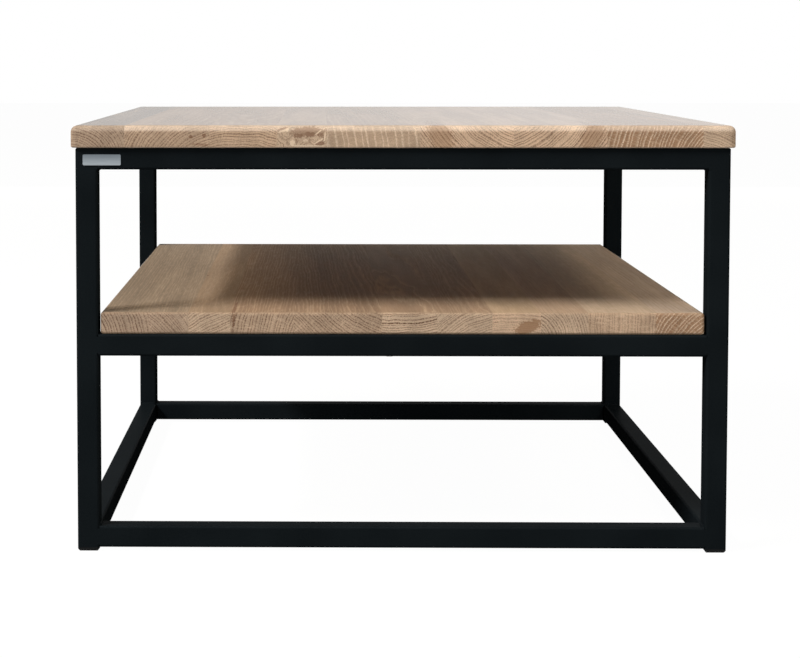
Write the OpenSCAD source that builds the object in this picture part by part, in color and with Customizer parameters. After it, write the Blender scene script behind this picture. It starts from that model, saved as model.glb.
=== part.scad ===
// Two-tier coffee table: a welded frame of square steel tube carries an oak table top
// and an oak shelf, and stands on four ribbed foot plugs.
// Millimetres. The front faces -Y, +Z is up, and the origin is on the floor under the
// middle of the table top.

/* [Overall] */
// Side of the square table top
top_side = 600; // [500:10:700]
// Height of the table top's surface above the floor
table_height = 390; // [360:5:480]
// Height of the shelf's surface above the floor
shelf_height = 220; // [160:5:240]
// Thickness of the table top and of the shelf
board = 20; // [18:1:28]

/* [Steel frame] */
// Outside size of the square tube
tube = 20; // [18:1:25]
// Wall thickness of the tube
wall = 1.5; // [1.2:0.1:2]
// Outside radius of the tube's long edges
tube_r = 2.5; // [2:0.25:4]
// How far the table top stands out past the frame on each side
overhang = 4; // [2:1:20]

/* [Table top] */
// Radius routed along the upper edges and down the four upright corners
top_edge_r = 6; // [4:0.5:8]
// Chamfer sanded along the lower edges
top_chamfer = 1; // [0.5:0.25:2]

/* [Shelf] */
// Radius sanded along every edge
shelf_edge_r = 2.5; // [1:0.5:4]
// Gap between the shelf and each leg
shelf_gap = 2; // [1:0.5:4]
// How far the shelf's ends stand back from the front and rear of the frame
shelf_setback = 1; // [0:0.5:3]

/* [Foot plugs] */
// Height of a plug's head, which the table stands on
foot_h = 3.5; // [3:0.5:8]
// How much the head narrows on each side, below a straight lip
foot_taper = 2; // [0.5:0.25:2.5]
// Length of the part inside the leg
plug_shank = 18; // [14:1:24]
// Number of springy ribs that grip the inside of the leg
plug_ribs = 4; // [2:1:5]

/* [Screws] */
// Shank diameter of the wood screws
screw_d = 4; // [3.5:0.5:5]
// How far the wood screws bite into the boards
screw_bite = 14.5; // [8:0.5:15]
// Distance of each table top screw from the middle of its rail
top_screw_reach = 150; // [100:5:180]
// How far the two shelf screws sit to the left of the middle
shelf_screw_offset = 11; // [0:1:25]

/* [Hidden] */
$fn = 64;

// Widths of the glued staves, from left to right; only their proportions count
TOP_STAVES = [49, 77, 61, 45, 84, 84, 84, 41, 45, 30];
SHELF_STAVES = [44, 36, 38, 58, 80, 50, 50, 44, 43, 61, 44];

LEGS = ["front_left", "front_right", "rear_left", "rear_right"];
SIDES = ["front", "right", "rear", "left"];

top_z = table_height - board;            // underside of the table top
top_rail_z = top_z - tube;               // underside of the top rails
shelf_z = shelf_height - board;          // underside of the shelf
mid_rail_z = shelf_z - tube;             // underside of the two rails under the shelf
frame_side = top_side - 2 * overhang;
leg_in = frame_side / 2 - tube;          // from the middle to the inner face of a leg
rail_mid = frame_side / 2 - tube / 2;    // from the middle to the middle of a rail
rail_length = 2 * leg_in;                // a rail that is butted between two legs
shelf_width = rail_length - 2 * shelf_gap;
shelf_depth = frame_side - 2 * shelf_setback;

bore = tube - 2 * wall;
bore_r = max(tube_r - wall, 0.5);

foot_lip = 1;
plug_core = bore - 5;
plug_wall = 2;
plug_hollow = plug_core - 2 * plug_wall;
rib_h = 1.2;

screw_hole = screw_d + 0.6;              // clearance hole in the steel
access_hole = 2 * screw_d + 2;           // lets a head and driver into a top rail
pilot = screw_d + 0.2;                   // hole in the wood
head_d = 2 * screw_d;
head_h = 0.4 * screw_d;
head_rim = 0.2 * screw_d;
cut = 1;                                 // how far a cutting solid runs past a face

steel = [0.09, 0.10, 0.11];
plug_black = [0.05, 0.05, 0.06];
zinc = [0.72, 0.70, 0.62];

top_screws_at = [
    for (s = [-1, 1], t = [-1, 1]) each [
        [s * top_screw_reach, t * rail_mid],
        [t * rail_mid, s * top_screw_reach]
    ]
];
shelf_screws_at = [for (t = [-1, 1]) [-shelf_screw_offset, t * rail_mid]];

function two_digits(n) = n < 10 ? str("0", n) : str(n);
function stave_names(board_name, widths) = [
    for (n = [1:len(widths)]) str(board_name, "_stave_", two_digits(n))
];
function sum_of(list, count) = count == 0 ? 0 : list[count - 1] + sum_of(list, count - 1);
// Left edge of stave n of a board that is span wide, or the right edge of the one before it
function glue_line(widths, span, n) = span * (sum_of(widths, n) / sum_of(widths, len(widths)) - 0.5);

TOP_NAMES = stave_names("top", TOP_STAVES);
SHELF_NAMES = stave_names("shelf", SHELF_STAVES);

// Placing. Everything is drawn at the front left or along the front, and moved from there.

module to_leg(place) {
    mirror([place == "front_right" || place == "rear_right" ? 1 : 0, 0, 0])
        mirror([0, place == "rear_left" || place == "rear_right" ? 1 : 0, 0])
            children();
}

module to_side(side) {
    turns = search([side], SIDES)[0];
    rotate([0, 0, 90 * turns]) children();
}

// Lays an outline drawn in X and Y across the X axis, and draws it out along X
module along_x(length) {
    translate([-length / 2, 0, 0])
        rotate([90, 0, 90])
            linear_extrude(length) children();
}

// Outlines

module rounded_square(side, r) {
    translate([r, 0]) square([side - 2 * r, side]);
    translate([0, r]) square([side, side - 2 * r]);
    for (x = [r, side - r], y = [r, side - r]) translate([x, y]) circle(r);
}

module tube_outline() {
    rounded_square(tube, tube_r);
}

module bore_outline() {
    translate([wall, wall]) rounded_square(bore, bore_r);
}

module quarter_disc(r) {
    intersection() {
        circle(r);
        square(r + cut);
    }
}

// Cross-section of a board's edge, from its last flat point out to the edge. Above is a
// quarter round, and below it a chamfer, or another quarter round where chamfer is 0.
module edge_outline(r, chamfer) {
    translate([0, board - r]) quarter_disc(r);
    if (chamfer > 0) {
        difference() {
            square([r, board - r]);
            polygon([[r - chamfer - cut, -cut], [r + cut, -cut], [r + cut, chamfer + cut]]);
        }
    } else {
        translate([0, r]) square([r, board - 2 * r]);
        translate([0, r]) mirror([0, 1]) quarter_disc(r);
    }
}

// Lengthwise section of a stave, with the board's front and rear edges on its ends
module stave_outline(length, r, chamfer) {
    translate([-(length / 2 - r), 0]) square([length - 2 * r, board]);
    for (end = [0, 1]) {
        mirror([end, 0]) translate([length / 2 - r, 0]) edge_outline(r, chamfer);
    }
}

// Steel frame

// Weld metal ground flush: it squares off the leg's rounded edges where rails are butted
// against them, so that no groove is left. The rails' undersides are at z.
module dressed_weld(z, edges) {
    for (at = edges) {
        translate([at[0], at[1], z + tube_r]) cube([tube_r, tube_r, tube - 2 * tube_r]);
    }
}

// The front left leg: open at the foot for its plug, and closed above by the top rails
module leg() {
    far = tube - tube_r;
    color(steel)
        translate([-frame_side / 2, -frame_side / 2, 0])
            difference() {
                union() {
                    translate([0, 0, foot_h]) linear_extrude(top_rail_z - foot_h) tube_outline();
                    dressed_weld(foot_h, [[far, 0], [far, far], [0, far]]);
                    dressed_weld(mid_rail_z, [[far, 0], [far, far]]);
                }
                translate([0, 0, foot_h - cut]) linear_extrude(top_rail_z) bore_outline();
            }
}

// The front top rail: mitred at both ends into its neighbours, welded down on the legs,
// and drilled from below for the table top's screws
module top_rail() {
    half = frame_side / 2;
    color(steel)
        intersection() {
            translate([0, -half, top_rail_z])
                difference() {
                    union() {
                        along_x(frame_side) tube_outline();
                        for (x = [-half, leg_in]) translate([x, 0, 0]) cube([tube, tube_r, tube_r]);
                    }
                    along_x(frame_side + 2 * cut) bore_outline();
                    for (s = [-1, 1]) {
                        translate([s * top_screw_reach, tube / 2, -cut])
                            cylinder(d = access_hole, h = tube / 2 + cut);
                        translate([s * top_screw_reach, tube / 2, tube / 2])
                            cylinder(d = screw_hole, h = tube / 2 + cut);
                    }
                }
            translate([0, 0, top_rail_z - cut])
                linear_extrude(tube + 2 * cut)
                    intersection() {
                        translate([-half, -half]) rounded_square(frame_side, tube_r);
                        polygon([[-half - cut, -half - cut], [half + cut, -half - cut],
                                 [leg_in, -leg_in], [-leg_in, -leg_in]]);
                    }
        }
}

// The front one of the two rails under the shelf, drilled through for the shelf's screw
module mid_rail() {
    color(steel)
        translate([0, -frame_side / 2, mid_rail_z])
            difference() {
                along_x(rail_length) tube_outline();
                along_x(rail_length + 2 * cut) bore_outline();
                translate([-shelf_screw_offset, tube / 2, -cut])
                    cylinder(d = screw_hole, h = tube + 2 * cut);
            }
}

module bottom_rail() {
    color(steel)
        translate([0, -frame_side / 2, foot_h])
            difference() {
                along_x(rail_length) tube_outline();
                along_x(rail_length + 2 * cut) bore_outline();
            }
}

// Foot plugs

// A square block standing on the middle of z = 0, whose four sides draw in below z = rise
module tapered_block(side, height, inset, rise) {
    half = side / 2;
    section = [
        [inset - half, 0], [half - inset, 0], [half, rise],
        [half, height], [-half, height], [-half, rise]
    ];
    intersection() {
        along_x(side + 2 * cut) polygon(section);
        rotate([0, 0, 90]) along_x(side + 2 * cut) polygon(section);
    }
}

// A springy rib, bevelled on top to let the plug into the tube
module plug_rib() {
    intersection() {
        mirror([0, 0, 1]) tapered_block(bore, rib_h, rib_h / 2, rib_h / 2);
        translate([-tube / 2, -tube / 2, -rib_h - cut])
            linear_extrude(rib_h + 2 * cut) bore_outline();
    }
}

// The front left plug: a head as wide as the tube, and a hollow shank that carries the ribs
module foot_plug() {
    rib_pitch = (plug_shank - 3) / plug_ribs;
    color(plug_black)
        translate([-rail_mid, -rail_mid, 0])
            difference() {
                union() {
                    intersection() {
                        tapered_block(tube, foot_h, foot_taper, foot_h - foot_lip);
                        translate([-tube / 2, -tube / 2, -cut])
                            linear_extrude(foot_h + 2 * cut) tube_outline();
                    }
                    translate([0, 0, foot_h + plug_shank])
                        mirror([0, 0, 1])
                            tapered_block(plug_core, plug_shank, plug_wall / 2, plug_wall / 2);
                    for (n = [1:plug_ribs]) translate([0, 0, foot_h + n * rib_pitch]) plug_rib();
                }
                translate([-plug_hollow / 2, -plug_hollow / 2, foot_h])
                    cube([plug_hollow, plug_hollow, plug_shank + cut]);
            }
}

// Boards

// The board's right edge beyond x, with its two upright corners
module side_edge(x, length, r, chamfer) {
    translate([x, 0, 0]) {
        rotate([90, 0, 0])
            linear_extrude(length - 2 * r, center = true) edge_outline(r, chamfer);
        for (end = [0, 1]) {
            mirror([0, end, 0])
                translate([0, length / 2 - r, 0])
                    rotate_extrude(angle = 90) edge_outline(r, chamfer);
        }
    }
}

// Stave n of a board, standing on z = 0. The first and last also carry a side edge.
module stave(widths, n, width, length, r, chamfer, screws_at) {
    from = glue_line(widths, width, n);
    to = glue_line(widths, width, n + 1);
    flat_from = n == 0 ? from + r : from;
    flat_to = n == len(widths) - 1 ? to - r : to;
    difference() {
        union() {
            translate([(flat_from + flat_to) / 2, 0, 0])
                along_x(flat_to - flat_from) stave_outline(length, r, chamfer);
            if (flat_from > from) mirror([1, 0, 0]) side_edge(-flat_from, length, r, chamfer);
            if (flat_to < to) side_edge(flat_to, length, r, chamfer);
        }
        for (at = screws_at) {
            if (at[0] > from - pilot && at[0] < to + pilot) {
                translate([at[0], at[1], -cut]) cylinder(d = pilot, h = screw_bite + 2 * cut);
            }
        }
    }
}

// Neighbouring staves differ a little in tone, as oak does
module oak(n) {
    tone = 0.93 + 0.035 * ((n * 3) % 5);
    color([0.74 * tone, 0.62 * tone, 0.49 * tone]) children();
}

module top_stave(n) {
    oak(n)
        translate([0, 0, top_z])
            stave(TOP_STAVES, n, top_side, top_side, top_edge_r, top_chamfer, top_screws_at);
}

module shelf_stave(n) {
    oak(n + 2)
        translate([0, 0, shelf_z])
            stave(SHELF_STAVES, n, shelf_width, shelf_depth, shelf_edge_r, 0, shelf_screws_at);
}

// Screws

// A wood screw standing point up, with the underside of its domed head at z = 0
module wood_screw(length) {
    point = 1.2 * screw_d;
    dome = head_h - head_rim;
    dome_r = (pow(head_d / 2, 2) + pow(dome, 2)) / (2 * dome);
    rotate_extrude() {
        square([screw_d / 2, length - point]);
        polygon([[0, length - point], [screw_d / 2, length - point], [0.2, length], [0, length]]);
        translate([0, -head_rim]) square([head_d / 2, head_rim]);
        intersection() {
            translate([0, dome_r - head_h]) circle(dome_r);
            translate([0, -head_h]) square([head_d / 2, dome]);
        }
    }
}

// Eight screws, whose heads bear inside the top rails
module top_screws() {
    color(zinc)
        for (at = top_screws_at) {
            translate([at[0], at[1], top_z - wall]) wood_screw(wall + screw_bite);
        }
}

// Two longer screws, whose heads bear under the rails that carry the shelf
module shelf_screws() {
    color(zinc)
        for (at = shelf_screws_at) {
            translate([at[0], at[1], mid_rail_z]) wood_screw(tube + screw_bite);
        }
}

for (place = LEGS) {
    to_leg(place) leg();
    to_leg(place) foot_plug();
}
for (side = SIDES) {
    to_side(side) top_rail();
    to_side(side) bottom_rail();
}
mid_rail();  // mid_rail_front
mirror([0, 1, 0]) mid_rail();  // mid_rail_rear
for (n = [0:len(TOP_STAVES) - 1]) {
    top_stave(n);
}
for (n = [0:len(SHELF_STAVES) - 1]) {
    shelf_stave(n);
}
top_screws();
shelf_screws();
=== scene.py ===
import math

import bpy
from mathutils import Matrix, Vector


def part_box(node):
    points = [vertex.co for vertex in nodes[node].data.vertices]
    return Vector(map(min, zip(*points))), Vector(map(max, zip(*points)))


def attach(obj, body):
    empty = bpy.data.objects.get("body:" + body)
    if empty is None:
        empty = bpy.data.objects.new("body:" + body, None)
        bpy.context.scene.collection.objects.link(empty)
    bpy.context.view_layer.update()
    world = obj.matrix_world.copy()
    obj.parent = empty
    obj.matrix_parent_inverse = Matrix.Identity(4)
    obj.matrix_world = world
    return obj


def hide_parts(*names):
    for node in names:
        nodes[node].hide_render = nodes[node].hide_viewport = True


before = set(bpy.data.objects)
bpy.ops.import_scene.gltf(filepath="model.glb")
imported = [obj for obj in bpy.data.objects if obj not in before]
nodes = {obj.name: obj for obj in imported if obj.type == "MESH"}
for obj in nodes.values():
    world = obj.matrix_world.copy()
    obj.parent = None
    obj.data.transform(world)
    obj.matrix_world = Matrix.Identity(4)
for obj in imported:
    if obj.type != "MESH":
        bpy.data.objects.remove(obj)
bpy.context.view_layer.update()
scene = bpy.context.scene
bpy.ops.object.select_all(action="DESELECT")


# Camera. It stands 1.6 m in front of the table, a little left of its middle and just above
# its top, and looks slightly down. The picture is a crop from low left of a wider one.

camera_data = bpy.data.cameras.new("camera")
camera_data.sensor_fit = "HORIZONTAL"
camera_data.sensor_width = 36
camera_data.lens = 80.05
camera_data.shift_x = 0.1306
camera_data.shift_y = -0.2212
camera = bpy.data.objects.new("camera", camera_data)
camera.location = (-0.0756, -1.8999, 0.4534)
camera.rotation_euler = (math.pi / 2 - 0.0544, 0.0003, 0.0130)
scene.collection.objects.link(camera)
scene.camera = camera


# Room. Daylight falls from the upper left front and the upper right, and pale walls in
# front, behind and at both sides fill the shade. The backdrop is white, and the plain pale
# floor shows white where no shadow falls on it.

def shade(tree, kind, values=(), **options):
    """One step of a material, with its options and the values or links of its inputs."""
    step = tree.nodes.new("ShaderNode" + kind)
    for name, value in options.items():
        setattr(step, name, value)
    for name, value in dict(values).items():
        if isinstance(value, bpy.types.NodeSocket):
            tree.links.new(value, step.inputs[name])
        else:
            step.inputs[name].default_value = value
    return step


def reckon(tree, operation, *values):
    """One sum or comparison of a material."""
    return shade(tree, "Math", enumerate(values), operation=operation).outputs[0]


room = bpy.data.worlds.new("white room")
room.use_nodes = True
tree = room.node_tree
tree.nodes.clear()
ray = shade(tree, "LightPath").outputs
toward = shade(tree, "SeparateXYZ", {0: shade(tree, "TexCoord").outputs["Generated"]}).outputs[0]
mirrored = shade(tree, "MapRange", {"Value": toward, "From Min": -0.20, "From Max": 0.12,
                                    "To Min": 0.69, "To Max": 1.0}).outputs[0]
mirrored = reckon(tree, "MULTIPLY", ray["Is Glossy Ray"], mirrored)
seen = reckon(tree, "MAXIMUM", ray["Is Camera Ray"], ray["Is Transmission Ray"])
lit_by_walls = 0.041
strength = reckon(tree, "MAXIMUM", reckon(tree, "MAXIMUM", seen, mirrored), lit_by_walls)
walls = shade(tree, "Background", {"Color": (1, 1, 1, 1), "Strength": strength})
tree.links.new(walls.outputs[0], tree.nodes.new("ShaderNodeOutputWorld").inputs[0])
scene.world = room

daylight_data = bpy.data.lights.new("daylight strip", "AREA")
daylight_data.shape = "RECTANGLE"
daylight_data.size = 0.47
daylight_data.size_y = 2.5
daylight_data.energy = 376
daylight = bpy.data.objects.new("daylight strip", daylight_data)
daylight.location = (-4.3, -2.75, 4.7)
daylight.rotation_euler = (0, math.radians(-43.8), 0)
scene.collection.objects.link(daylight)

window_data = bpy.data.lights.new("window on the right", "AREA")
window_data.shape = "RECTANGLE"
window_data.size = 2.0
window_data.size_y = 0.7
window_data.energy = 13
window = bpy.data.objects.new("window on the right", window_data)
window.location = (1.6, -2.2, 3.1)
window.rotation_euler = (Vector((0, 0, 0.25)) - window.location).to_track_quat("-Z", "Y").to_euler()
scene.collection.objects.link(window)

wall_data = bpy.data.lights.new("pale wall in front", "AREA")
wall_data.shape = "RECTANGLE"
wall_data.size = 5.0
wall_data.size_y = 1.0
wall_data.energy = 43
wall = bpy.data.objects.new("pale wall in front", wall_data)
wall.location = (0, -4.2, 0.6)
wall.rotation_euler = (math.pi / 2, 0, 0)
wall.visible_glossy = False
scene.collection.objects.link(wall)

warm_white = (1.0, 0.89, 0.72)
behind_data = bpy.data.lights.new("pale wall behind", "AREA")
behind_data.shape = "RECTANGLE"
behind_data.size = 5.0
behind_data.size_y = 0.4
behind_data.energy = 18
behind_data.color = warm_white
behind = bpy.data.objects.new("pale wall behind", behind_data)
behind.location = (0, 4.2, 0.22)
behind.rotation_euler = (-math.pi / 2, 0, 0)
behind.visible_camera = False
behind.visible_glossy = False
scene.collection.objects.link(behind)

side_walls = (
    ("left", (-3.2, -0.5, 2.6), 1.1, 3.0, 74),
    ("right", (1.15, -0.9, 1.75), 0.9, 1.1, 22),
)
for side, (x, y, z), height, run, energy in side_walls:
    side_data = bpy.data.lights.new("pale wall on the " + side, "AREA")
    side_data.shape = "RECTANGLE"
    side_data.size = height
    side_data.size_y = run
    side_data.energy = energy
    side_data.color = warm_white
    side_wall = bpy.data.objects.new("pale wall on the " + side, side_data)
    side_wall.location = (x, y, z)
    side_wall.rotation_euler = (0, math.copysign(math.pi / 2, x), 0)
    side_wall.visible_camera = False
    side_wall.visible_glossy = False
    scene.collection.objects.link(side_wall)

bpy.ops.mesh.primitive_plane_add(size=30)
floor = bpy.context.object
floor.name = "floor"
paint = bpy.data.materials.new("pale floor")
paint.use_nodes = True
tree = paint.node_tree
tree.nodes.clear()
matt = shade(tree, "BsdfDiffuse", {"Color": (0.25, 0.25, 0.24, 1)})
glow = shade(tree, "Emission", {"Color": (1, 1, 1, 1), "Strength": 1.14})
ray = shade(tree, "LightPath").outputs
seen = reckon(tree, "MAXIMUM", ray["Is Camera Ray"], ray["Is Transmission Ray"])
seen = reckon(tree, "MAXIMUM", seen, ray["Is Glossy Ray"])
glow_share = 0.86
mixed = shade(tree, "MixShader", {0: reckon(tree, "MULTIPLY", seen, glow_share),
                                  1: matt.outputs[0], 2: glow.outputs[0]})
underneath = shade(tree, "NewGeometry").outputs["Backfacing"]
clear = shade(tree, "BsdfTransparent")
from_below = shade(tree, "MixShader", {0: underneath, 1: mixed.outputs[0], 2: clear.outputs[0]})
tree.links.new(from_below.outputs[0], tree.nodes.new("ShaderNodeOutputMaterial").inputs[0])
floor.data.materials.append(paint)

scene.view_settings.view_transform = "Standard"


# Steel frame. Square tube 20 mm wide, mitred at the four top corners and butted between the
# legs lower down, welded, the outer seams ground flush, then powder coated satin black.

def new_finish(name):
    """An empty material and its shader; the shader's own sockets hold what is plain."""
    finish = bpy.data.materials.new(name)
    finish.use_nodes = True
    finish.node_tree.nodes.clear()
    coat = finish.node_tree.nodes.new("ShaderNodeBsdfPrincipled")
    output = finish.node_tree.nodes.new("ShaderNodeOutputMaterial")
    finish.node_tree.links.new(coat.outputs[0], output.inputs[0])
    return finish, finish.node_tree, coat


def stretch(tree, value, low, high, to_low=0.0, to_high=1.0):
    """Spreads a band of values smoothly over another band."""
    return shade(tree, "MapRange", {"Value": value, "From Min": low, "From Max": high,
                                    "To Min": to_low, "To Max": to_high},
                 interpolation_type="SMOOTHSTEP").outputs[0]


def tint(tree, amount, first, second, blend="MIX"):
    """Mixes two colours."""
    return shade(tree, "Mix", {0: amount, 6: first, 7: second},
                 data_type="RGBA", blend_type=blend).outputs[2]


def cloud(tree, place, scale, detail=2.0):
    """Soft noise, 0.5 on average. scale is in waves to the metre, along each axis."""
    spread = shade(tree, "VectorMath", {0: place, 1: scale}, operation="MULTIPLY").outputs[0]
    return shade(tree, "TexNoise", {"Vector": spread, "Scale": 1.0, "Detail": detail}).outputs[0]


powder_black, tree, coat = new_finish("powder coat black")
place = shade(tree, "TexCoord").outputs["Object"]
drift = cloud(tree, place, (14, 14, 14))
orange_peel = cloud(tree, place, (420, 420, 420), 1.0)
grit = cloud(tree, place, (1900, 1900, 1900), 0.0)
deep_black = (0.0070, 0.0095, 0.0112, 1)
soft_black = (0.0090, 0.0121, 0.0142, 1)
tree.links.new(tint(tree, stretch(tree, drift, 0.3, 0.7), deep_black, soft_black),
               coat.inputs["Base Color"])
satin = reckon(tree, "MULTIPLY_ADD", grit, 0.5, reckon(tree, "MULTIPLY", drift, 0.5))
tree.links.new(stretch(tree, satin, 0.25, 0.75, 0.54, 0.68), coat.inputs["Roughness"])
coat.inputs["Specular IOR Level"].default_value = 0.0
coat.inputs["Coat Roughness"].default_value = 0.38
upward = shade(tree, "SeparateXYZ", {0: shade(tree, "TexCoord").outputs["Normal"]}).outputs[2]
tree.links.new(stretch(tree, upward, 0.2, 0.9, 0.004, 0.055), coat.inputs["Coat Weight"])
relief = reckon(tree, "MULTIPLY_ADD", grit, 0.25, orange_peel)
tree.links.new(shade(tree, "Bump", {"Strength": 0.35, "Distance": 0.00012, "Height": relief}).outputs[0],
               coat.inputs["Normal"])

for name, node in nodes.items():
    if name.startswith(("leg_", "top_rail_", "mid_rail_", "bottom_rail_")):
        node.material_slots[0].material = powder_black


# Weld seams. In the inner corners a grinder doesn't reach, the weld bead is left as it was
# laid, rippled across, and is coated with the frame.

bead_r = 0.0017
bead_step = 0.00125
bead_start = -0.2935
ripples = (1.55, 1.2, 0.93, 1.09, 0.92, 1.08, 0.93, 1.08, 0.92, 1.08, 0.88, 0.62)
inner = 0.276
tube_middle = 0.286
foot_z = 0.0035
seam_z = foot_z + 0.020
mid_rail_under = 0.180
top_rail_under = 0.350
bottom_ring_middle = 0.0135
top_ring_middle = 0.360


def settle(piece):
    """Moves a finished piece's place into its mesh and merges, closes and turns out its faces."""
    bpy.ops.object.select_all(action="DESELECT")
    piece.select_set(True)
    bpy.context.view_layer.objects.active = piece
    bpy.ops.object.transform_apply(location=True, rotation=True, scale=True)
    bpy.ops.object.mode_set(mode="EDIT")
    bpy.ops.mesh.select_all(action="SELECT")
    bpy.ops.mesh.remove_doubles(threshold=0.000002)
    bpy.ops.mesh.normals_make_consistent(inside=False)
    bpy.ops.object.mode_set(mode="OBJECT")


bpy.ops.object.select_all(action="DESELECT")
bpy.ops.mesh.primitive_circle_add(vertices=20, radius=bead_r * 0.5, fill_type="NGON",
                                  location=(-inner, bead_start, seam_z), rotation=(math.pi / 2, 0, 0))
bead = bpy.context.object
bpy.ops.object.mode_set(mode="EDIT")
for n, wide in enumerate(ripples):
    bpy.ops.mesh.extrude_region_move(TRANSFORM_OT_translate={"value": (0, bead_step, 0)})
    bpy.ops.transform.resize(value=(wide, 1, wide),
                             center_override=(-inner, bead_start + bead_step * (n + 1), seam_z))
for middle, facing in (((-inner, 0, 0), (1, 0, 0)), ((0, 0, seam_z), (0, 0, 1))):
    bpy.ops.mesh.select_all(action="SELECT")
    bpy.ops.mesh.bisect(plane_co=middle, plane_no=facing, use_fill=True, clear_inner=True)
bpy.ops.object.mode_set(mode="OBJECT")
settle(bead)

across = Matrix(((0, 1, 0, 0), (1, 0, 0, 0), (0, 0, 1, 0), (0, 0, 0, 1)))
upside_down = Matrix.Scale(-1, 4, (0, 0, 1))
under_rail = Matrix.Translation((0, 0, seam_z)) @ upside_down @ Matrix.Translation((0, 0, -seam_z))
under_mid_rail = Matrix.Translation((0, 0, mid_rail_under - seam_z)) @ under_rail
under_top_rail = Matrix.Translation((0, 0, top_rail_under - seam_z)) @ under_rail
stood_up = Matrix.Rotation(math.pi / 2, 4, "X")
corner = (Matrix.Translation((-inner, -inner, 0)) @ stood_up
          @ Matrix.Translation((inner, tube_middle, -seam_z)))
weld_seams = {
    "weld_seams_bottom_ring": [Matrix(), across, Matrix.Translation((0, 0, bottom_ring_middle)) @ corner],
    "weld_seams_mid_rails": [under_mid_rail],
    "weld_seams_top_ring": [under_top_rail, across @ under_top_rail,
                            Matrix.Translation((0, 0, top_ring_middle)) @ corner],
}
for name, seams in weld_seams.items():
    laid = []
    for seam in seams:
        for x in (1, -1):
            for y in (1, -1):
                bpy.ops.object.select_all(action="DESELECT")
                bead.select_set(True)
                bpy.context.view_layer.objects.active = bead
                bpy.ops.object.duplicate()
                copy = bpy.context.object
                copy.data.transform(Matrix.Diagonal((x, y, 1, 1)) @ seam)
                laid.append(copy)
    for copy in laid:
        copy.select_set(True)
    bpy.context.view_layer.objects.active = laid[0]
    bpy.ops.object.join()
    welds = bpy.context.object
    welds.name = name
    settle(welds)
    bpy.ops.object.shade_smooth_by_angle(angle=math.radians(50))
    welds.data.materials.append(powder_black)
    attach(welds, "root")
bpy.data.objects.remove(bead)


# Foot plugs. One injection moulded plug of black plastic is pushed into each leg; only its
# tapered head shows. The mould left it evenly matt, with faint flow marks.

moulded_black, tree, coat = new_finish("moulded plastic black")
place = shade(tree, "TexCoord").outputs["Object"]
spark = cloud(tree, place, (2600, 2600, 2600), 1.0)
flow = cloud(tree, place, (90, 90, 260))
mould_black = (0.0065, 0.0070, 0.0075, 1)
flow_black = (0.0105, 0.0110, 0.0115, 1)
tree.links.new(tint(tree, stretch(tree, flow, 0.3, 0.7), mould_black, flow_black),
               coat.inputs["Base Color"])
tree.links.new(stretch(tree, spark, 0.3, 0.7, 0.48, 0.62), coat.inputs["Roughness"])
coat.inputs["Specular IOR Level"].default_value = 0.05
tree.links.new(shade(tree, "Bump", {"Strength": 0.4, "Distance": 0.00008, "Height": spark}).outputs[0],
               coat.inputs["Normal"])
for name, node in nodes.items():
    if name.startswith("foot_plug_"):
        node.material_slots[0].material = moulded_black


# Table top. Ten oak staves glued edge to edge run from front to rear, sanded and oiled, so
# that their end grain shows on the front edge. Each was sawn at its own distance from the
# heart of its tree, which sets how its year rings cross the end.

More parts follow.
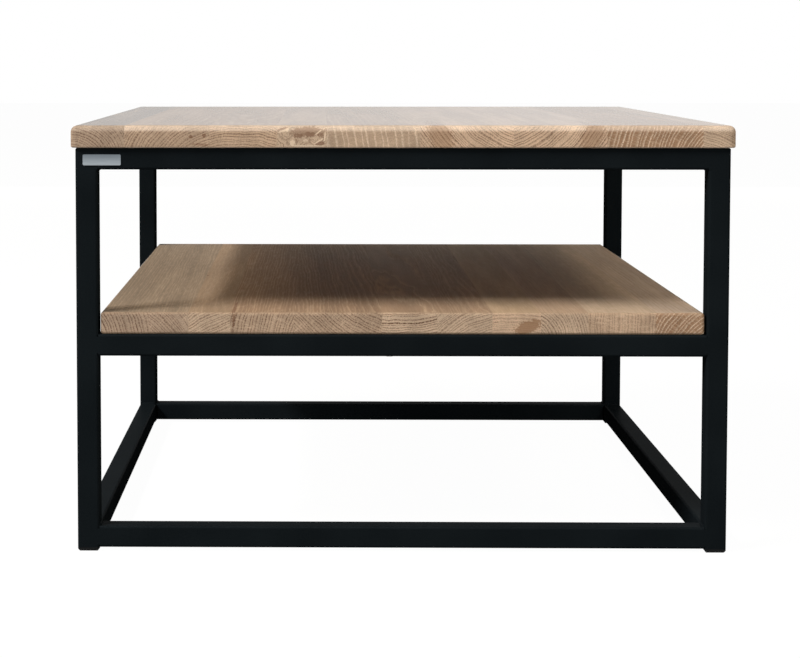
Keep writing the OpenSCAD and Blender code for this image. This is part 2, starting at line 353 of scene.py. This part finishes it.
def oak_group():
    """Oak by its tree: rings round the heart, rays out from it, and pores along it, with a painted
    highlight tinting its rounded edges. Place is metres from the heart, with Y along the tree."""
    oak = bpy.data.node_groups.new("oak", "ShaderNodeTree")
    inputs = (("Place", "Vector", None), ("Ring Width", "Float", 3.0), ("Waviness", "Float", 1.0),
              ("Ring Depth", "Float", 0.6), ("Ring Share", "Float", 0.5), ("Ray Spacing", "Float", 90.0),
              ("Ray Depth", "Float", 0.3), ("Wood", "Color", (0.48, 0.32, 0.205, 1)),
              ("Ring", "Color", (0.3, 0.18, 0.11, 1)), ("Ray", "Color", (0.66, 0.49, 0.345, 1)),
              ("Face", "Color", (0.440, 0.298, 0.185, 1)), ("Face Ring", "Color", (0.56, 0.41, 0.28, 1)),
              ("Edge Highlight", "Color", (0.78, 0.65, 0.54, 1)))
    for name, kind, value in inputs:
        socket = oak.interface.new_socket(name, in_out="INPUT", socket_type="NodeSocket" + kind)
        if value is not None:
            socket.default_value = value
    for name, kind in (("Color", "Color"), ("Roughness", "Float"), ("Height", "Float")):
        oak.interface.new_socket(name, in_out="OUTPUT", socket_type="NodeSocket" + kind)
    given = oak.nodes.new("NodeGroupInput").outputs
    place = given["Place"]
    at = shade(oak, "SeparateXYZ", {0: place}).outputs
    facing = shade(oak, "SeparateXYZ", {0: shade(oak, "TexCoord").outputs["Normal"]}).outputs
    end_grain = stretch(oak, reckon(oak, "ABSOLUTE", facing[1]), 0.1, 0.7)

    across_tree = shade(oak, "CombineXYZ", {0: at[0], 2: at[2]}).outputs[0]
    radius = shade(oak, "VectorMath", {0: across_tree}, operation="LENGTH").outputs["Value"]
    wander = reckon(oak, "SUBTRACT", cloud(oak, place, (34, 6.5, 34)), 0.5)
    shiver = reckon(oak, "SUBTRACT", cloud(oak, place, (170, 19, 170)), 0.5)
    bend = reckon(oak, "MULTIPLY_ADD", shiver, 0.0012, reckon(oak, "MULTIPLY", wander, 0.006))
    radius_now = reckon(oak, "MULTIPLY_ADD", bend, given["Waviness"], radius)
    year = reckon(oak, "DIVIDE", reckon(oak, "MULTIPLY", radius_now, 1000.0), given["Ring Width"])
    decade = reckon(oak, "MULTIPLY", year, 0.37)
    climate = shade(oak, "TexNoise", {"W": decade, "Scale": 1.0, "Detail": 1.0},
                    noise_dimensions="1D").outputs[0]
    year = reckon(oak, "MULTIPLY_ADD", climate, 1.7, year)
    season = reckon(oak, "FRACT", year)
    summer = shade(oak, "MapRange", {"Value": season, "From Min": 0.0, "From Max": given["Ring Share"]},
                   interpolation_type="SMOOTHSTEP").outputs[0]
    spring = reckon(oak, "MAXIMUM", reckon(oak, "SUBTRACT", 1.0, summer), stretch(oak, season, 0.86, 1.0))
    this_year = shade(oak, "TexWhiteNoise", {"W": reckon(oak, "FLOOR", year)},
                      noise_dimensions="1D").outputs[0]
    this_year = reckon(oak, "MULTIPLY_ADD", this_year, 0.5, 0.5)
    pores = cloud(oak, place, (1150, 40, 1150), 0.0)
    broken = stretch(oak, cloud(oak, place, (660, 30, 660), 1.0), 0.34, 0.54, 0.30, 1.0)
    ring = reckon(oak, "MULTIPLY", reckon(oak, "MULTIPLY", spring, this_year), broken)

    angle = reckon(oak, "MULTIPLY", reckon(oak, "ARCTAN2", at[2], at[0]), given["Ray Spacing"])
    fan = shade(oak, "CombineXYZ", {0: angle, 1: reckon(oak, "MULTIPLY", radius, 95.0),
                                    2: reckon(oak, "MULTIPLY", at[1], 55.0)}).outputs[0]
    rays = shade(oak, "TexNoise", {"Vector": fan, "Scale": 1.0, "Detail": 1.0}).outputs[0]
    ray = stretch(oak, rays, 0.50, 0.70)

    tone = stretch(oak, cloud(oak, place, (46, 4.2, 46)), 0.3, 0.7, 0.88, 1.10)
    spots = stretch(oak, pores, 0.46, 0.70)
    wood = tint(oak, end_grain, tint(oak, 0.62, given["Wood"], given["Face"]), given["Wood"])
    line = tint(oak, end_grain, given["Face Ring"], given["Ring"])
    colour = tint(oak, reckon(oak, "MULTIPLY", ring, given["Ring Depth"]), wood, line)
    fleck = reckon(oak, "MULTIPLY", ray, reckon(oak, "MULTIPLY_ADD", end_grain, 0.6, 0.4))
    colour = tint(oak, reckon(oak, "MULTIPLY", fleck, given["Ray Depth"]), colour, given["Ray"])
    # Painted highlight: where the surface turns from the front to the top, on rounded edges, the colour
    # is drawn towards the edge colour as if the edge caught the light.
    tipped = reckon(oak, "ABSOLUTE", reckon(oak, "MULTIPLY", facing[1], facing[2]))
    edge = stretch(oak, tipped, 0.02, 0.40, 0.0, 0.4)
    colour = tint(oak, edge, colour, given["Edge Highlight"])
    colour = shade(oak, "VectorMath", {0: colour, "Scale": tone}, operation="SCALE").outputs[0]
    pit_depth = reckon(oak, "MULTIPLY_ADD", end_grain, -0.20, -0.06)
    pitted = reckon(oak, "MULTIPLY_ADD", spots, pit_depth, 1.06)
    colour = shade(oak, "VectorMath", {0: colour, "Scale": pitted}, operation="SCALE").outputs[0]
    rough = reckon(oak, "MULTIPLY_ADD", ring, 0.08, reckon(oak, "MULTIPLY_ADD", spots, 0.06, 0.72))
    rough = reckon(oak, "MULTIPLY_ADD", ray, -0.05, rough)
    sunk = reckon(oak, "MULTIPLY_ADD", spots, 0.5, reckon(oak, "MULTIPLY", ring, 0.4))
    out = oak.nodes.new("NodeGroupOutput")
    oak.links.new(colour, out.inputs["Color"])
    oak.links.new(rough, out.inputs["Roughness"])
    oak.links.new(reckon(oak, "SUBTRACT", 1.0, sunk), out.inputs["Height"])
    return oak


def blot_group():
    """Where wood is stained by a knot, a streak or a wedge of heartwood: 1 inside, 0 outside."""
    blot = bpy.data.node_groups.new("stained wood", "ShaderNodeTree")
    for name, kind in (("Place", "Vector"), ("Middle", "Vector"), ("Half Size", "Vector"),
                       ("Turn", "Vector"), ("Raggedness", "Float")):
        blot.interface.new_socket(name, in_out="INPUT", socket_type="NodeSocket" + kind)
    blot.interface.new_socket("Mask", in_out="OUTPUT", socket_type="NodeSocketFloat")
    given = blot.nodes.new("NodeGroupInput").outputs
    ragged = cloud(blot, given["Place"], (700, 22, 700))
    near = shade(blot, "Mapping", {"Vector": given["Place"], "Location": given["Middle"],
                                   "Rotation": given["Turn"], "Scale": given["Half Size"]},
                 vector_type="TEXTURE").outputs[0]
    far = shade(blot, "VectorMath", {0: near}, operation="LENGTH").outputs["Value"]
    far = reckon(blot, "MULTIPLY_ADD", reckon(blot, "SUBTRACT", ragged, 0.5), given["Raggedness"], far)
    mask = stretch(blot, far, 1.08, 0.86)
    blot.links.new(mask, blot.nodes.new("NodeGroupOutput").inputs["Mask"])
    return blot


oak = oak_group()
blot = blot_group()

wood_tones = {
    "cream": (0.610, 0.430, 0.297, 1),
    "pale": (0.545, 0.400, 0.282, 1),
    "straw": (0.515, 0.362, 0.248, 1),
    "tan": (0.450, 0.320, 0.222, 1),
    "grey": (0.404, 0.293, 0.210, 1),
    "brown": (0.335, 0.195, 0.113, 1),
}
ring_tones = {
    "dark": (0.075, 0.018, 0.002, 1),
    "light": (0.820, 0.660, 0.500, 1),
}
ray_gap = 1.1


def oak_stave(name, heart_x, heart_z, ring_width, wood, ring, ring_depth, ring_share=0.5, waviness=1.0,
              ray_depth=0.3, lean=(0.0, 0.0), stains=(), face=(0.440, 0.298, 0.185, 1),
              face_ring=(0.56, 0.41, 0.28, 1), edge=(0.78, 0.65, 0.54, 1)):
    """The finish of one stave. heart_x and heart_z are where its tree's heart would pass the
    front edge, in millimetres, and lean is how far the heart turns from the stave's run.
    A stain is its colour and depth, its middle and half size in millimetres, and its turn. The
    edge colour is a painted highlight on its rounded edges."""
    finish, tree, coat = new_finish("oak " + name)
    here = shade(tree, "TexCoord").outputs["Object"]
    heart = shade(tree, "Mapping", {"Vector": here, "Location": (heart_x / 1000, -0.3, heart_z / 1000),
                                    "Rotation": (lean[0], 0, lean[1])}, vector_type="TEXTURE").outputs[0]
    low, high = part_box(name)
    middle = (low + high) / 2
    away = math.hypot(middle.x * 1000 - heart_x, middle.z * 1000 - heart_z)
    wood_here = shade(tree, "Group", node_tree=oak)
    for socket, value in (("Ring Width", ring_width), ("Waviness", waviness),
                          ("Ring Depth", ring_depth), ("Ring Share", ring_share),
                          ("Ray Spacing", away / ray_gap), ("Ray Depth", ray_depth),
                          ("Wood", wood_tones[wood]), ("Ring", ring_tones[ring]),
                          ("Face", face), ("Face Ring", face_ring), ("Edge Highlight", edge)):
        wood_here.inputs[socket].default_value = value
    tree.links.new(heart, wood_here.inputs["Place"])
    colour = wood_here.outputs["Color"]
    for stain, depth, at, half, turn in stains:
        spot = shade(tree, "Group", {"Place": here, "Middle": [v / 1000 for v in at],
                                     "Half Size": [v / 1000 for v in half], "Turn": (0, turn, 0),
                                     "Raggedness": 1.6}, node_tree=blot).outputs["Mask"]
        colour = tint(tree, reckon(tree, "MULTIPLY", spot, depth), colour, stain)
    glance = stretch(tree, shade(tree, "LayerWeight", {"Blend": 0.5}).outputs["Facing"], 0.895, 0.97)
    tree.links.new(colour, coat.inputs["Base Color"])
    tree.links.new(wood_here.outputs["Roughness"], coat.inputs["Roughness"])
    coat.inputs["Specular IOR Level"].default_value = 0.25
    coat.inputs["Coat Roughness"].default_value = 0.24
    coat.inputs["Coat Tint"].default_value = (0.70, 0.75, 0.84, 1)
    tree.links.new(reckon(tree, "MULTIPLY", glance, 0.94), coat.inputs["Coat Weight"])
    tree.links.new(shade(tree, "Bump", {"Strength": 0.35, "Distance": 0.00012,
                                        "Height": wood_here.outputs["Height"]}).outputs[0],
                   coat.inputs["Normal"])
    nodes[name].material_slots[0].material = finish


knot = (0.150, 0.058, 0.026, 1)
cream = (0.780, 0.620, 0.460, 1)
heartwood = (0.290, 0.160, 0.085, 1)
burl_brown = (0.300, 0.190, 0.125, 1)
oak_stave("top_stave_01", -297, 354, 2.3, "grey", "dark", 0.95, lean=(0.01, -0.012),
          face=(0.262, 0.207, 0.156, 1), edge=(0.550, 0.440, 0.350, 1))
oak_stave("top_stave_02", -164, 330, 2.7, "tan", "dark", 0.9, lean=(-0.008, 0.01),
          stains=[(knot, 0.65, (-191, -290, 380), (2.0, 30, 1.6), 0.3),
                  (knot, 0.65, (-179, -290, 381), (1.8, 30, 2.2), 0.0),
                  (knot, 0.40, (-182, -290, 373), (9, 40, 1.2), 0.1)])
oak_stave("top_stave_03", -148, 255, 2.35, "straw", "dark", 1.0, waviness=1.3, lean=(0.012, 0.004))
burl = [
    (burl_brown, 0.65, (-85.5, -290, 384.5), (17.5, 50, 4.6), 0.0),
    (knot, 0.50, (-94, -290, 380.9), (5.4, 50, 2.0), 0.0),
    (knot, 0.46, (-83.4, -290, 381.9), (5.6, 50, 2.3), 0.1),
    (knot, 0.46, (-73.6, -290, 381.2), (3.5, 50, 2.2), 0.0),
    (knot, 0.30, (-95.3, -290, 376.3), (1.3, 50, 2.8), 0.0),
    (knot, 0.30, (-83.5, -290, 376.9), (1.2, 50, 1.8), 0.0),
    (knot, 0.60, (-74.6, -290, 374.0), (4.2, 50, 2.3), -0.3),
    (knot, 0.45, (-108.7, -290, 387), (5.5, 40, 0.8), -0.29),
    (cream, 0.70, (-107.2, -290, 385.3), (5.0, 40, 0.9), -0.32),
    (cream, 0.80, (-103.8, -290, 386), (1.6, 40, 1.6), 0.0),
    (cream, 0.70, (-99.4, -290, 374.5), (2.2, 60, 3.0), 0.0),
    (cream, 0.50, (-87.9, -290, 376.8), (2.5, 60, 1.3), 0.0),
    (cream, 0.60, (-86, -290, 371.8), (15, 60, 0.8), 0.0),
    (cream, 0.85, (-76.2, -290, 383.7), (4.2, 40, 0.6), -0.65),
    (cream, 0.85, (-75.2, -290, 376.2), (5.4, 40, 0.6), -0.56),
    (cream, 0.85, (-70, -290, 380.6), (0.8, 40, 4.2), 0.1),
]
oak_stave("top_stave_04", -96, 440, 2.7, "pale", "dark", 0.75, waviness=7.0, lean=(0.02, -0.01),
          stains=burl)
oak_stave("top_stave_05", -320, 320, 6.0, "tan", "light", 0.8, ring_share=0.30, lean=(0.004, 0.012))
oak_stave("top_stave_06", 128, 450, 2.6, "cream", "dark", 1.0, lean=(-0.01, 0.006), ray_depth=0.4,
          stains=[(heartwood, 0.45, (34, -290, 381), (10, 120, 15), -0.6)])
oak_stave("top_stave_07", 76, 448, 2.6, "cream", "dark", 1.0, lean=(0.014, -0.008), ray_depth=0.4,
          stains=[(heartwood, 0.45, (171, -290, 381), (9, 120, 15), 0.6)])
oak_stave("top_stave_08", 284, 352, 3.7, "brown", "light", 0.95, lean=(-0.006, -0.01))
oak_stave("top_stave_09", 306, 346, 3.1, "brown", "light", 1.0, ring_share=0.42, lean=(0.008, 0.01))
oak_stave("top_stave_10", 257, 313, 2.2, "pale", "dark", 0.75, lean=(-0.01, -0.006))


# Shelf. Eleven oak staves, glued and finished as the table top, with every edge only eased.
# It lies between the legs on the two mid rails.

shade_brown = (0.187, 0.096, 0.041, 1)
brown_line = (0.390, 0.275, 0.180, 1)
light_line = (0.470, 0.340, 0.225, 1)
# Painted highlight on the shelf's eased edges, toned down from the table top's.
eased_edge_highlight = (0.300, 0.205, 0.130, 1)
grey_face = {"face": (0.165, 0.126, 0.076, 1), "face_ring": (0.390, 0.290, 0.200, 1), "edge": eased_edge_highlight}
warm_face = {"face": (0.187, 0.114, 0.053, 1), "face_ring": brown_line, "edge": eased_edge_highlight}
lined_face = {"face": shade_brown, "face_ring": light_line, "edge": eased_edge_highlight}
oak_stave("shelf_stave_01", -308, 188, 2.9, "grey", "dark", 1.0, ray_depth=0.2, lean=(0.01, 0.01),
          **grey_face)
oak_stave("shelf_stave_02", -275, 154, 2.5, "grey", "dark", 0.85, lean=(-0.01, 0.008), **grey_face)
oak_stave("shelf_stave_03", -120, 100, 2.4, "pale", "dark", 0.95, lean=(0.008, -0.012),
          stains=[(knot, 0.6, (-194, -24, 219), (2.2, 5, 3), 0.0)], **warm_face)
oak_stave("shelf_stave_04", -57, 192, 2.9, "tan", "dark", 0.95, ray_depth=0.35, lean=(0.01, -0.01),
          stains=[(knot, 0.55, (-153, -262, 214), (1.8, 48, 9), 0.0)], **lined_face)
oak_stave("shelf_stave_05", 24, 315, 2.5, "tan", "dark", 0.95, ray_depth=0.35, lean=(-0.012, 0.01),
          **lined_face)
oak_stave("shelf_stave_06", -3, 394, 2.4, "pale", "dark", 1.0, waviness=1.1, ray_depth=0.15,
          lean=(0.01, 0.01), **lined_face)
oak_stave("shelf_stave_07", 92, 150, 2.3, "pale", "dark", 0.85, lean=(0.012, -0.008), **lined_face)
oak_stave("shelf_stave_08", 100, 112, 2.4, "cream", "dark", 0.6, lean=(-0.008, 0.01),
          stains=[(heartwood, 0.80, (114, -292, 207), (13, 60, 5.5), -0.35)],
          face=(0.321, 0.223, 0.122, 1), face_ring=light_line, edge=eased_edge_highlight)
# Staves 9 to 11 have paler faces towards the right end: partly the wood's own paler tone, partly painted
# light standing in for the brighter light and sheen on the shelf's right side.
oak_stave("shelf_stave_09", 108, 188, 2.4, "pale", "dark", 0.9, lean=(0.01, 0.008),
          face=(0.434, 0.288, 0.182, 1), face_ring=brown_line, edge=eased_edge_highlight)
oak_stave("shelf_stave_10", 404, 204, 3.1, "straw", "dark", 0.6, ray_depth=0.5, lean=(-0.01, -0.01),
          face=(0.463, 0.357, 0.248, 1), face_ring=brown_line, edge=eased_edge_highlight)
oak_stave("shelf_stave_11", 302, 168, 3.1, "brown", "light", 0.95, ring_share=0.45, lean=(0.01, -0.006),
          face=(0.541, 0.442, 0.340, 1), face_ring=brown_line, edge=eased_edge_highlight)


# Screws. Zinc plated wood screws with domed heads and a six-lobed socket. Eight hold the
# table top from inside the top rails, and two long ones hold the shelf.

zinc, tree, coat = new_finish("zinc plate")
place = shade(tree, "TexCoord").outputs["Object"]
clouded = cloud(tree, place, (260, 260, 260))
dull_zinc = (0.46, 0.47, 0.47, 1)
bright_zinc = (0.66, 0.66, 0.64, 1)
tree.links.new(tint(tree, stretch(tree, clouded, 0.3, 0.7), dull_zinc, bright_zinc),
               coat.inputs["Base Color"])
tree.links.new(stretch(tree, clouded, 0.3, 0.7, 0.24, 0.38), coat.inputs["Roughness"])
coat.inputs["Metallic"].default_value = 1.0


def pick(piece, wanted):
    """Selects, for edit mode, only the corners of a piece whose place passes a test."""
    bpy.ops.object.mode_set(mode="OBJECT")
    for part in (*piece.data.polygons, *piece.data.edges):
        part.select = False
    for vertex in piece.data.vertices:
        vertex.select = wanted(vertex.co)
    bpy.ops.object.mode_set(mode="EDIT")


def wood_screw(length):
    """A screw at the origin, point up, with the underside of its domed head at z = 0."""
    crest, root, half_pitch, shank = 0.0020, 0.0013, 0.0006, 0.0018
    thread = []
    for n in range(20):
        taper = min(1, 0.35 + 0.13 * n)
        thread.append((length - 0.0007 - half_pitch * n, (crest, root)[n % 2] * taper))
    head = [(length - 0.0132, shank), (0.0, shank), (0.0, 0.0039), (-0.0008, 0.0040),
            (-0.0012, 0.0035), (-0.0015, 0.0024), (-0.0016, root)]
    height, radius = length, 0.0002
    bpy.ops.object.select_all(action="DESELECT")
    bpy.ops.mesh.primitive_circle_add(vertices=24, radius=radius, fill_type="NGON",
                                      location=(0, 0, height))
    screw = bpy.context.object
    bpy.ops.object.mode_set(mode="EDIT")
    for lower, wider in thread + head:
        bpy.ops.mesh.extrude_region_move(TRANSFORM_OT_translate={"value": (0, 0, lower - height)})
        bpy.ops.transform.resize(value=(wider / radius, wider / radius, 1), center_override=(0, 0, lower))
        height, radius = lower, wider

    def on_socket(co, lobe=None):
        turn = round(math.degrees(math.atan2(co.y, co.x)) / 15)
        return abs(co.z + length - height) < 0.00001 and lobe in (None, turn % 4)

    socket_depth = 0.0010
    for lobe, wider in ((0, 1.2), (2, 0.78)):
        pick(screw, lambda co: on_socket(co, lobe))
        bpy.ops.transform.resize(value=(wider, wider, 1), center_override=(0, 0, height))
    pick(screw, on_socket)
    bpy.ops.mesh.extrude_region_move(TRANSFORM_OT_translate={"value": (0, 0, socket_depth)})
    bpy.ops.transform.resize(value=(0.9, 0.9, 1), center_override=(0, 0, height + socket_depth))
    bpy.ops.object.mode_set(mode="OBJECT")
    settle(screw)
    bpy.ops.object.shade_smooth_by_angle(angle=math.radians(35))
    screw.data.materials.append(zinc)
    return screw


def drive(screw, places, name, stands_for):
    """Sets a copy of a screw in each place, each turned as it happened to stop."""
    driven = []
    for n, place in enumerate(places):
        bpy.ops.object.select_all(action="DESELECT")
        screw.select_set(True)
        bpy.context.view_layer.objects.active = screw
        bpy.ops.object.duplicate()
        copy = bpy.context.object
        copy.data.transform(Matrix.Translation(place) @ Matrix.Rotation(0.7 * n * n + 0.2, 4, "Z"))
        driven.append(copy)
    for copy in driven:
        copy.select_set(True)
    bpy.context.view_layer.objects.active = driven[0]
    bpy.ops.object.join()
    screws = bpy.context.object
    screws.name = name
    bpy.data.objects.remove(screw)
    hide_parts(stands_for)
    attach(screws, "root")


reach = 0.150
top_seat = 0.3685
along_front_and_rear = [(s * reach, t * tube_middle, top_seat) for s in (-1, 1) for t in (-1, 1)]
along_sides = [(t * tube_middle, s * reach, top_seat) for s in (-1, 1) for t in (-1, 1)]
drive(wood_screw(0.016), along_front_and_rear + along_sides, "screws_under_top", "top_screws")

off_middle = -0.011
under_shelf = [(off_middle, side * tube_middle, mid_rail_under) for side in (-1, 1)]
drive(wood_screw(0.0345), under_shelf, "screws_under_shelf", "shelf_screws")


# Badge. A small blank plate of brushed aluminium with rounded corners is glued to the front
# top rail at its left end.

brushed, tree, coat = new_finish("brushed aluminium")
place = shade(tree, "TexCoord").outputs["Object"]
brush = cloud(tree, place, (60, 900, 5200), 3.0)
sweep = cloud(tree, place, (40, 40, 40))
height = shade(tree, "SeparateXYZ", {0: place}).outputs[2]
metal = tint(tree, stretch(tree, brush, 0.3, 0.7), (0.31, 0.345, 0.37, 1), (0.42, 0.465, 0.495, 1))
upper_grey = (0.19, 0.22, 0.245, 1)
low_end, high_end = 0.3535, 0.3645
tree.links.new(tint(tree, stretch(tree, height, low_end, high_end), metal, upper_grey),
               coat.inputs["Base Color"])
polish = reckon(tree, "MULTIPLY_ADD", brush, 0.5, reckon(tree, "MULTIPLY", sweep, 0.5))
tree.links.new(stretch(tree, polish, 0.3, 0.7, 0.30, 0.46), coat.inputs["Roughness"])
coat.inputs["Metallic"].default_value = 1.0
tree.links.new(shade(tree, "Bump", {"Strength": 0.3, "Distance": 0.00005, "Height": brush}).outputs[0],
               coat.inputs["Normal"])

rail_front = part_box("top_rail_front")[0].y
left, right, under, over, thick = -0.2890, -0.2546, 0.3540, 0.3638, 0.0007
bpy.ops.object.select_all(action="DESELECT")
bpy.ops.mesh.primitive_plane_add(size=1, rotation=(math.pi / 2, 0, 0),
                                 location=((left + right) / 2, rail_front, (under + over) / 2))
badge = bpy.context.object
badge.name = "badge_plate"
badge.scale = (right - left, over - under, 1)
bpy.ops.object.transform_apply(location=False, rotation=False, scale=True)
bpy.ops.object.mode_set(mode="EDIT")
bpy.ops.mesh.select_all(action="SELECT")
bpy.ops.mesh.bevel(offset=0.0011, segments=5, affect="VERTICES")
bpy.ops.mesh.extrude_region_move(TRANSFORM_OT_translate={"value": (0, -thick, 0)})
bpy.ops.mesh.inset(thickness=0.00025, depth=0.0)
bpy.ops.transform.translate(value=(0, -0.00008, 0))
bpy.ops.object.mode_set(mode="OBJECT")
settle(badge)
bpy.ops.object.shade_smooth_by_angle(angle=math.radians(40))
badge.data.materials.append(brushed)
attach(badge, "root")
